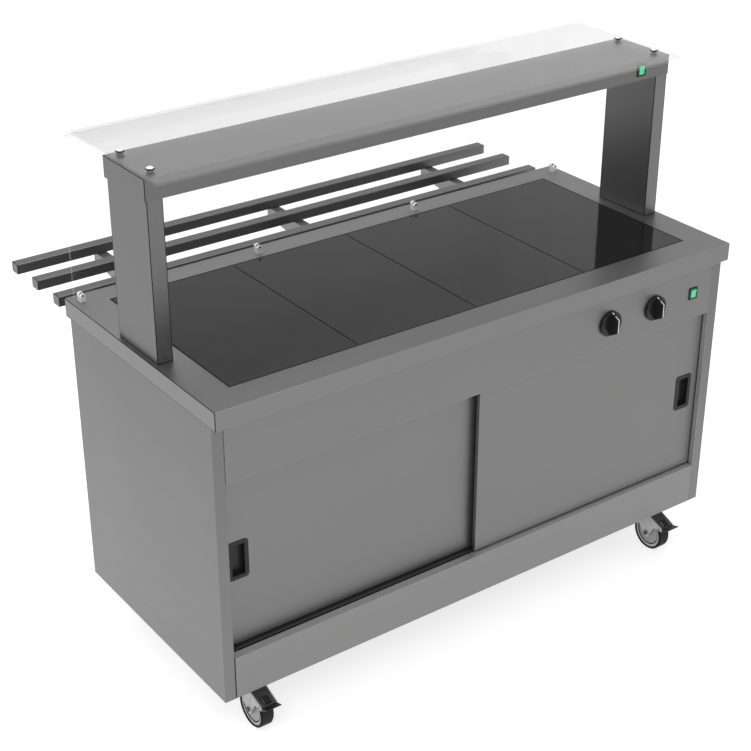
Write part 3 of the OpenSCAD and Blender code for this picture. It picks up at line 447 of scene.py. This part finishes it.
def knob_pointer(name):
    """White line down a knob's slope and along its grip's front, and a dot at the head of the slope."""
    low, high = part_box(name)
    centre_x = (low.x + high.x) / 2
    radius = (high.x - low.x) / 2
    centre_z = high.z - radius
    dot_z = centre_z + radius - DOT_DROP
    foot_z = centre_z - POINTER_FOOT_SHARE * radius

    def mask(tree):
        x, y, z = (coordinates(tree)[axis] for axis in "XYZ")
        across = calc(tree, "SUBTRACT", x, centre_x)
        line = band(tree, across, -POINTER_HALF_WIDTH, POINTER_HALF_WIDTH)
        along = band(tree, z, foot_z, dot_z - POINTER_GAP)
        on_grip = calc(tree, "LESS_THAN", y, high.y - GRIP_STAND_OFF)
        pointer = calc(tree, "MULTIPLY", calc(tree, "MULTIPLY", line, along), on_grip)
        from_dot = hypotenuse(tree, across, calc(tree, "SUBTRACT", z, dot_z))
        dot = calc(tree, "LESS_THAN", from_dot, DOT_RADIUS)
        return calc(tree, "MAXIMUM", pointer, dot), grey(0.8)

    return mask


def lens_finish():
    """Lit green lens with a moulded grid inside."""
    material, tree, inputs = new_material("green lens", Roughness=0.2, IOR=1.49, Emission_Strength=0.35)
    x, y, z = (coordinates(tree)[axis] for axis in "XYZ")
    pitch = 2.2 * MM
    ribs = [calc(tree, "PINGPONG", calc(tree, "ADD", value, 1.0), pitch / 2) for value in (x, z)]
    rib = calc(tree, "MAXIMUM", *(ramp(tree, value, 0.35 * pitch, 0.5 * pitch) for value in ribs))
    colour = blend_colours(tree, rib, (0.045, 0.62, 0.26, 1.0), (0.02, 0.4, 0.16, 1.0))
    feed(tree, colour, inputs["Base Color"])
    feed(tree, colour, inputs["Emission Color"])
    raise_surface(tree, inputs, rib, 0.2 * MM, 0.4)
    return material


# The guard's bend and the depth of its cut edges; rays that met more faces than this go straight through
BEND_REACH = 66 * MM
CUT_DEPTH = 0.5 * MM
CLEAR_DEPTH = 3.5


def guard_finish():
    """Clear sheet that hardly bends light: glossy, with painted shade that greys its top, darker towards the
    left end, and greys it at a glancing angle, and a painted highlight that makes its upright cut edges glow.
    """
    material, tree, inputs = new_material(
        "clear guard", Roughness=0.0, IOR=1.001, Transmission_Weight=1.0, Coat_Weight=0.8, Coat_Roughness=0.0,
        Emission_Strength=1.0)
    low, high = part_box("glass_guard")
    x, y, z = (coordinates(tree)[axis] for axis in "XYZ")
    side_edge = near_plane(tree, "glass_guard", "x both", CUT_DEPTH)
    cut_edge = calc(tree, "MAXIMUM", side_edge, near_plane(tree, "glass_guard", "y low", CUT_DEPTH))
    cut_edge = calc(tree, "MAXIMUM", cut_edge, near_plane(tree, "glass_guard", "z low", CUT_DEPTH))
    upright_edge = calc(tree, "MULTIPLY", side_edge, calc(tree, "LESS_THAN", z, high.z - 2 * BEND_REACH))
    upward = ramp(tree, calc(tree, "ABSOLUTE", facing(tree)["Z"]), 0.6, 1.0)
    # Painted shade: the top greyer, darker towards the left end
    top = blend_colours(tree, ramp(tree, x, low.x, high.x), grey(0.79), grey(0.91))
    colour = blend_colours(tree, upward, grey(0.965), top)
    # Painted shade at a glancing angle
    glancing = place(tree, "ShaderNodeLayerWeight").outputs["Facing"]
    colour = blend_colours(tree, ramp(tree, glancing, 0.82, 0.97), colour, grey(0.55))
    feed(tree, colour, inputs["Base Color"])
    # Painted highlight: the upright cut edges glow
    feed(tree, blend_colours(tree, upright_edge, grey(0.0), grey(0.22)), inputs["Emission Color"])
    sheet = tree.nodes["Principled BSDF"]
    output = tree.nodes["Material Output"]
    clear = place(tree, "ShaderNodeBsdfTransparent")
    path = place(tree, "ShaderNodeLightPath").outputs
    through = calc(tree, "MAXIMUM", path["Is Shadow Ray"], path["Is Diffuse Ray"])
    clear_edge = calc(tree, "SUBTRACT", cut_edge, calc(tree, "MULTIPLY", upright_edge, 0.3))
    through = calc(tree, "MAXIMUM", through, clear_edge)
    through = calc(tree, "MAXIMUM", through, calc(tree, "GREATER_THAN", path["Ray Depth"], CLEAR_DEPTH))
    choice = place(tree, "ShaderNodeMixShader")
    feed(tree, through, choice.inputs["Fac"])
    tree.links.new(sheet.outputs["BSDF"], choice.inputs[1])
    tree.links.new(clear.outputs["BSDF"], choice.inputs[2])
    tree.links.new(choice.outputs["Shader"], output.inputs["Surface"])
    return material


PLATE_TINT = (1.0, 1.0, 1.02)


def polished_metal(name, level, rough):
    """Plated metal with fine wear and a little tarnish in patches."""
    material, tree, inputs = new_material(name, Metallic=1.0)
    where = position(tree)
    patches = noise(tree, where, 70.0, detail=3.0)
    bright, dull = grey(level, PLATE_TINT), grey(level * 0.85, PLATE_TINT)
    feed(tree, blend_colours(tree, ramp(tree, patches, 0.35, 0.7), bright, dull), inputs["Base Color"])
    feed(tree, ramp(tree, patches, 0.3, 0.7, rough, rough * 1.4), inputs["Roughness"])
    scratches = noise(tree, where, 1500.0, detail=2.0)
    raise_surface(tree, inputs, scratches, 0.01 * MM, 0.4)
    return material


# The castor forks, and the hatch with a tab painted dark in each hood as the painted shade of a hole, by
# their distance from the castors' middle
CASTORS_MIDDLE_Y = (middle("castor_tyre_1").y + middle("castor_tyre_3").y) / 2
FORK_HALF_WIDTH = 22.5 * MM
RIM_WIDTH = 3 * MM
NUT_STAND_OFF = 0.4 * MM
HATCH_HALF_WIDTH = 12 * MM
HATCH = (302.5 * MM, 324.5 * MM)
TAB_HALF_WIDTH = 8 * MM
TAB = (305.7 * MM, 321 * MM)
PAINT_EDGE = 0.5 * MM


def fork_finish(name):
    """Zinc cheeks, with painted shade: a hood painted dark, a darkened axle nut, and a black hatch with a
    near-black tab in each hood.
    """
    material, tree, inputs = new_material(name.replace("_", " ") + " plate")
    across = calc(tree, "ABSOLUTE", calc(tree, "SUBTRACT", coordinates(tree)["X"], middle(name).x))
    cheek = calc(tree, "GREATER_THAN", calc(tree, "ABSOLUTE", facing(tree)["X"]), 0.6)
    rim = calc(tree, "GREATER_THAN", across, FORK_HALF_WIDTH - RIM_WIDTH)
    # The axle nut is kept out of the zinc and painted dark as painted shade
    nut = calc(tree, "GREATER_THAN", across, FORK_HALF_WIDTH + NUT_STAND_OFF)
    light = calc(tree, "MULTIPLY", calc(tree, "MAXIMUM", cheek, rim), calc(tree, "SUBTRACT", 1.0, nut))
    where = position(tree)
    patches = ramp(tree, noise(tree, where, 70.0, detail=3.0), 0.35, 0.7)
    zinc = blend_colours(tree, patches, grey(0.46), grey(0.4))
    # Painted shade: the hood, and below, the hatch and its tab
    painted_shade = blend_colours(tree, patches, grey(0.05), grey(0.042))
    outwards = calc(tree, "ABSOLUTE", calc(tree, "SUBTRACT", coordinates(tree)["Y"], CASTORS_MIDDLE_Y))
    for half_width, reach, level in ((HATCH_HALF_WIDTH, HATCH, 0.002), (TAB_HALF_WIDTH, TAB, 0.009)):
        beside = calc(tree, "LESS_THAN", across, half_width)
        mark = calc(tree, "MULTIPLY", beside, band(tree, outwards, *reach, PAINT_EDGE))
        painted_shade = blend_colours(tree, mark, painted_shade, grey(level))
    feed(tree, blend_colours(tree, light, painted_shade, zinc), inputs["Base Color"])
    feed(tree, calc(tree, "MULTIPLY", light, 0.6), inputs["Metallic"])
    feed(tree, ramp(tree, patches, 0.0, 1.0, 0.36, 0.46), inputs["Roughness"])
    raise_surface(tree, inputs, noise(tree, where, 1500.0), 0.01 * MM, 0.4)
    return material


# The glass clamps' width, the height and size of their grub holes, painted dark as painted shade, and the
# heads of the guard's fixings, painted dark below them as painted shade
CLAMP_WIDTH = 14 * MM
GRUB_RISE = 16.8 * MM
GRUB_RADIUS = 2.6 * MM
GRUB_DEPTH = 4 * MM
FIXING_HEAD = 3.5 * MM
CLEAR_OF_CLAMPS = 100 * MM


def chrome_finish():
    """Polished chrome, painted dark as painted shade in the grub holes of the clamps and under the heads of
    the fixings.
    """
    material, tree, inputs = new_material("chrome", Metallic=0.6)
    low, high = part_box("glass_clamps")
    x, y, z = (coordinates(tree)[axis] for axis in "XYZ")
    pitch = (high.x - low.x - CLAMP_WIDTH) / 3
    turns = calc(tree, "DIVIDE", x, pitch)
    side = calc(tree, "SUBTRACT", calc(tree, "WRAP", turns, 1.0, 0.0), 0.5)
    across = calc(tree, "MULTIPLY", side, pitch)
    up = calc(tree, "SUBTRACT", z, low.z + GRUB_RISE)
    in_hole = calc(tree, "LESS_THAN", hypotenuse(tree, across, up), GRUB_RADIUS)
    # Painted shade inside each grub hole
    hole = calc(tree, "MULTIPLY", in_hole, calc(tree, "LESS_THAN", y, low.y + GRUB_DEPTH))
    # Painted shade under the heads of the fixings
    under_head = calc(tree, "LESS_THAN", z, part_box("glass_fixings")[1].z - FIXING_HEAD)
    shade_under_head = calc(tree, "MULTIPLY", under_head, calc(tree, "GREATER_THAN", z, high.z + CLEAR_OF_CLAMPS))
    dark = calc(tree, "MAXIMUM", hole, shade_under_head)
    where = position(tree)
    patches = ramp(tree, noise(tree, where, 70.0, detail=3.0), 0.35, 0.7)
    plate = blend_colours(tree, patches, grey(0.9, PLATE_TINT), grey(0.84, PLATE_TINT))
    feed(tree, blend_colours(tree, dark, plate, grey(0.03)), inputs["Base Color"])
    feed(tree, ramp(tree, patches, 0.0, 1.0, 0.2, 0.26), inputs["Roughness"])
    raise_surface(tree, inputs, noise(tree, where, 1500.0), 0.01 * MM, 0.4)
    return material


def tyre_finish():
    """Black rubber, slightly grey on the tread where it rolls."""
    material, tree, inputs = new_material("black rubber tyre", Specular_IOR_Level=0.2)
    marks = use_group(tree, MOULDED, Texture_Size=500.0, Dust=0.4)
    colour = blend_colours(tree, marks["Texture"], grey(0.012), grey(0.022))
    side = calc(tree, "GREATER_THAN", calc(tree, "ABSOLUTE", facing(tree)["X"]), 0.3)
    colour = blend_colours(tree, side, colour, grey(0.003))
    feed(tree, blend_colours(tree, marks["Dusting"], colour, grey(0.08)), inputs["Base Color"])
    feed(tree, ramp(tree, marks["Texture"], 0.3, 0.7, 0.55, 0.75), inputs["Roughness"])
    raise_surface(tree, inputs, marks["Texture"], 0.1 * MM, 0.5)
    return material


# The radii of the groove in a wheel's side, painted dark as the painted shade inside it
GROOVE = (34.2 * MM, 37.4 * MM)


def grey_nylon(name):
    """Grey moulded wheel centre with a groove painted dark as painted shade, inside its lighter rim."""
    material, tree, inputs = new_material(name.replace("_", " ") + " nylon")
    marks = use_group(tree, MOULDED, Texture_Size=700.0, Dust=0.2)
    colour = blend_colours(tree, marks["Texture"], grey(0.3), grey(0.36))
    centre = middle(name)
    y, z = (calc(tree, "SUBTRACT", coordinates(tree)[axis], centre["XYZ".index(axis)]) for axis in "YZ")
    radius = hypotenuse(tree, y, z)
    colour = blend_colours(tree, calc(tree, "GREATER_THAN", radius, GROOVE[1]), colour, grey(0.55))
    # Painted shade in the groove
    colour = blend_colours(tree, band(tree, radius, *GROOVE), colour, grey(0.004))
    feed(tree, blend_colours(tree, marks["Dusting"], colour, grey(0.4)), inputs["Base Color"])
    feed(tree, ramp(tree, marks["Texture"], 0.3, 0.7, 0.38, 0.5), inputs["Roughness"])
    raise_surface(tree, inputs, marks["Texture"], 0.03 * MM, 0.4)
    return material


def numbered(kind, count):
    """The names of the parts of one kind."""
    return [f"{kind}_{number}" for number in range(1, count + 1)]


def rail_finish(name):
    """Satin steel of one tray rail."""
    # The rails' lower level is painted shade
    return brushed_steel(name.replace("tray_", "").replace("_", " ") + " steel", 0.15, rough=0.36, part=name)


# The steel parts are all one stainless steel; their levels differ part by part as painted light and shade.
FINISHES = [
    (brushed_steel("worktop steel", 0.205, rough=0.38, part="worktop"), ["worktop"]),
    (brushed_steel("fascia steel", 0.2, part="fascia_panel"), ["fascia_panel"]),
    (brushed_steel("plinth steel", 0.245, part="plinth_panel"), ["plinth_panel"]),
    (brushed_steel("panel steel", 0.2), ["back_panel", "shelf", "base_panel"]),
    (brushed_steel("left side steel", 0.185, part="left_side_panel"), ["left_side_panel"]),
    (brushed_steel("right side steel", 0.185, part="right_side_panel"), ["right_side_panel"]),
    (brushed_steel("door steel", 0.205, rough=0.42), ["left_door", "right_door"]),
    (brushed_steel("left post steel", 0.155, run=UPRIGHT, part="left_post"), ["left_post"]),
    (brushed_steel("right post steel", 0.18, run=UPRIGHT, part="right_post"), ["right_post"]),
    (brushed_steel("gantry steel", 0.155, rough=0.4, part="gantry_canopy"), ["gantry_canopy"]),
    (brushed_steel("gantry floor steel", 0.2), ["gantry_floor"]),
    *((rail_finish(name), [name]) for name in numbered("tray_rail", 3)),
    (brushed_steel("bracket steel", 0.25, rough=0.4), ["tray_brackets"]),
    (brushed_steel("track steel", 0.12, rough=0.45), ["top_track", "bottom_track"]),
    (hot_tile_finish(), numbered("hot_tile", 4)),
    (sealant_finish(), ["tile_seal"]),
    (black_plastic("handle plastic", 0.35, 0.05), ["left_handle", "right_handle"]),
    (black_plastic("switch plastic", 0.3, 0.03),
     ["main_switch", "gantry_switch", "cable_gland", "heat_controls"]),
    (black_plastic("left knob plastic", 0.25, 0.02, extra=knob_pointer("left_knob")), ["left_knob"]),
    (black_plastic("right knob plastic", 0.25, 0.02, extra=knob_pointer("right_knob")), ["right_knob"]),
    (black_plastic("pedal plastic", 0.4, 0.05), numbered("brake_pedal", 2)),
    (black_plastic("roller plastic", 0.4, 0.1),
     [*numbered("left_door_roller", 2), *numbered("right_door_roller", 2)]),
    (lens_finish(), ["main_rocker", "gantry_rocker"]),
    (guard_finish(), ["glass_guard"]),
    (chrome_finish(), ["glass_clamps", "glass_fixings"]),
    (polished_metal("lamp quartz and steel", 0.6, 0.2), ["heat_lamps"]),
    (polished_metal("zinc plate", 0.42, 0.28), ["castor_plates", "assembly_screws"]),
    (polished_metal("heater steel", 0.15, 0.5), ["heating_elements"]),
    *((fork_finish(name), [name]) for name in numbered("castor_fork", 4)),
    *((grey_nylon(name), [name]) for name in numbered("castor_hub", 4)),
    (tyre_finish(), numbered("castor_tyre", 4)),
]


def smoothing_group(angle):
    """Shades smooth across flat edges and keeps edges sharper than an angle crisp."""
    group = bpy.data.node_groups.new("smooth by angle", "GeometryNodeTree")
    group.interface.new_socket("Geometry", in_out="INPUT", socket_type="NodeSocketGeometry")
    group.interface.new_socket("Geometry", in_out="OUTPUT", socket_type="NodeSocketGeometry")
    entry = group.nodes.new("NodeGroupInput")
    leave = group.nodes.new("NodeGroupOutput")
    smooth_faces = group.nodes.new("GeometryNodeSetShadeSmooth")
    crisp_edges = group.nodes.new("GeometryNodeSetShadeSmooth")
    crisp_edges.domain = "EDGE"
    crisp_edges.inputs["Shade Smooth"].default_value = False
    bend = group.nodes.new("GeometryNodeInputMeshEdgeAngle")
    compare = place(group, "FunctionNodeCompare", data_type="FLOAT", operation="GREATER_THAN")
    group.links.new(bend.outputs["Unsigned Angle"], compare.inputs["A"])
    compare.inputs["B"].default_value = angle
    group.links.new(entry.outputs[0], smooth_faces.inputs["Geometry"])
    group.links.new(smooth_faces.outputs["Geometry"], crisp_edges.inputs["Geometry"])
    group.links.new(compare.outputs["Result"], crisp_edges.inputs["Selection"])
    group.links.new(crisp_edges.outputs["Geometry"], leave.inputs[0])
    return group


SMOOTH = smoothing_group(math.radians(32))

# Rounding of edges, by what the part is made of
SHEET_EDGE = 0.5 * MM
FOLD_EDGE = 1.0 * MM
MOULDED_EDGE = 0.6 * MM
BLOCK_EDGE = 0.8 * MM
TILE_EDGE = 0.15 * MM
WELD_REACH = 0.005 * MM
EDGES = {
    "worktop": FOLD_EDGE,
    "left_post": FOLD_EDGE,
    "right_post": FOLD_EDGE,
    "gantry_canopy": FOLD_EDGE,
    "left_door": FOLD_EDGE,
    "right_door": FOLD_EDGE,
    "glass_guard": 0,
    "glass_clamps": BLOCK_EDGE,
    **{name: TILE_EDGE for name in numbered("hot_tile", 4)},
    "left_knob": BLOCK_EDGE,
    "right_knob": BLOCK_EDGE,
    "left_handle": MOULDED_EDGE,
    "right_handle": MOULDED_EDGE,
}


def round_edges(part, width):
    """Joins a part's faces, rounds its sharp edges and shades it smooth between them; 0 keeps the edges."""
    if "custom_normal" in part.data.attributes:
        part.data.attributes.remove(part.data.attributes["custom_normal"])
    weld = part.modifiers.new("join faces", "WELD")
    weld.merge_threshold = WELD_REACH
    if not width:
        part.modifiers.new("smooth", "NODES").node_group = SMOOTH
        return
    flat = part.modifiers.new("whole faces", "DECIMATE")
    flat.decimate_type = "DISSOLVE"
    flat.angle_limit = math.radians(0.5)
    smooth = part.modifiers.new("smooth", "NODES")
    smooth.node_group = SMOOTH
    edge = part.modifiers.new("round edges", "BEVEL")
    edge.width = width
    edge.segments = 2
    edge.limit_method = "ANGLE"
    edge.angle_limit = math.radians(35)
    level = part.modifiers.new("keep flats level", "WEIGHTED_NORMAL")
    level.keep_sharp = True
    level.weight = 100


for material, names in FINISHES:
    for name in names:
        part = parts[name]
        part.data.materials.clear()
        part.data.materials.append(material)
        round_edges(part, EDGES.get(name, SHEET_EDGE))


# Camera, lights, floor and background


def add_camera():
    """The camera where the photograph was taken from."""
    data = bpy.data.cameras.new("camera")
    data.lens = LENS_MM
    data.sensor_width = SENSOR_MM
    data.sensor_fit = "HORIZONTAL"
    camera = bpy.data.objects.new("camera", data)
    bpy.context.scene.collection.objects.link(camera)
    camera.location = EYE
    camera.rotation_mode = "QUATERNION"
    camera.rotation_quaternion = (AIM - EYE).to_track_quat("-Z", "Y")
    bpy.context.scene.camera = camera


# Soft lamps: name, place, side of the square in metres and power in watts; all face one point
LAMPS = [
    ("key light", (-3.0, -3.2, 3.8), 2.6, 90),
    ("left light", (-4.5, 0.5, 2.2), 2.6, 18),
    ("top light", (0.0, 0.8, 4.5), 3.0, 70),
]
LAMP_AIM = Vector((0.0, 0.0, 0.7))
WORLD_LEVEL = 0.9
FLOOR_SIZE = 40.0


def add_softbox(name, place_at, size, power):
    """A square soft lamp that faces the counter."""
    data = bpy.data.lights.new(name, "AREA")
    data.size = size
    data.energy = power
    lamp = bpy.data.objects.new(name, data)
    bpy.context.scene.collection.objects.link(lamp)
    lamp.location = place_at
    lamp.rotation_mode = "QUATERNION"
    lamp.rotation_quaternion = (LAMP_AIM - Vector(place_at)).to_track_quat("-Z", "Y")


def white_where_seen(tree, strength_else):
    """A strength of 1 for what the camera, metal and glass see, and a lower one as light."""
    path = place(tree, "ShaderNodeLightPath").outputs
    seen = calc(tree, "MAXIMUM", path["Is Camera Ray"], path["Is Glossy Ray"])
    seen = calc(tree, "MAXIMUM", seen, path["Is Transmission Ray"])
    return ramp(tree, seen, 0.0, 1.0, strength_else, 1.0)


def add_world(level):
    """A pale studio, which lights the part less than it shows."""
    world = bpy.data.worlds.new("studio")
    world.use_nodes = True
    tree = world.node_tree
    tree.nodes.clear()
    light = place(tree, "ShaderNodeBackground")
    output = place(tree, "ShaderNodeOutputWorld")
    feed(tree, white_where_seen(tree, level), light.inputs["Strength"])
    tree.links.new(light.outputs[0], output.inputs["Surface"])
    bpy.context.scene.world = world


def add_floor(size):
    """A plain white floor that takes the counter's shadow."""
    mesh = bpy.data.meshes.new("floor")
    half = size / 2
    corners = [(-half, -half, 0), (half, -half, 0), (half, half, 0), (-half, half, 0)]
    mesh.from_pydata(corners, [], [(0, 1, 2, 3)])
    floor = bpy.data.objects.new("floor", mesh)
    bpy.context.scene.collection.objects.link(floor)
    material, tree, inputs = new_material("white floor", Roughness=0.9, Emission_Strength=1.0)
    where = position(tree)
    feed(tree, blend_colours(tree, noise(tree, where, 2.0), grey(0.45), grey(0.46)), inputs["Base Color"])
    glow = blend_colours(tree, white_where_seen(tree, 0.4), grey(0.0), grey(0.7))
    feed(tree, glow, inputs["Emission Color"])
    mesh.materials.append(material)


add_camera()
add_world(WORLD_LEVEL)
add_floor(FLOOR_SIZE)
for lamp_settings in LAMPS:
    add_softbox(*lamp_settings)

bpy.context.scene.view_settings.view_transform = "Standard"
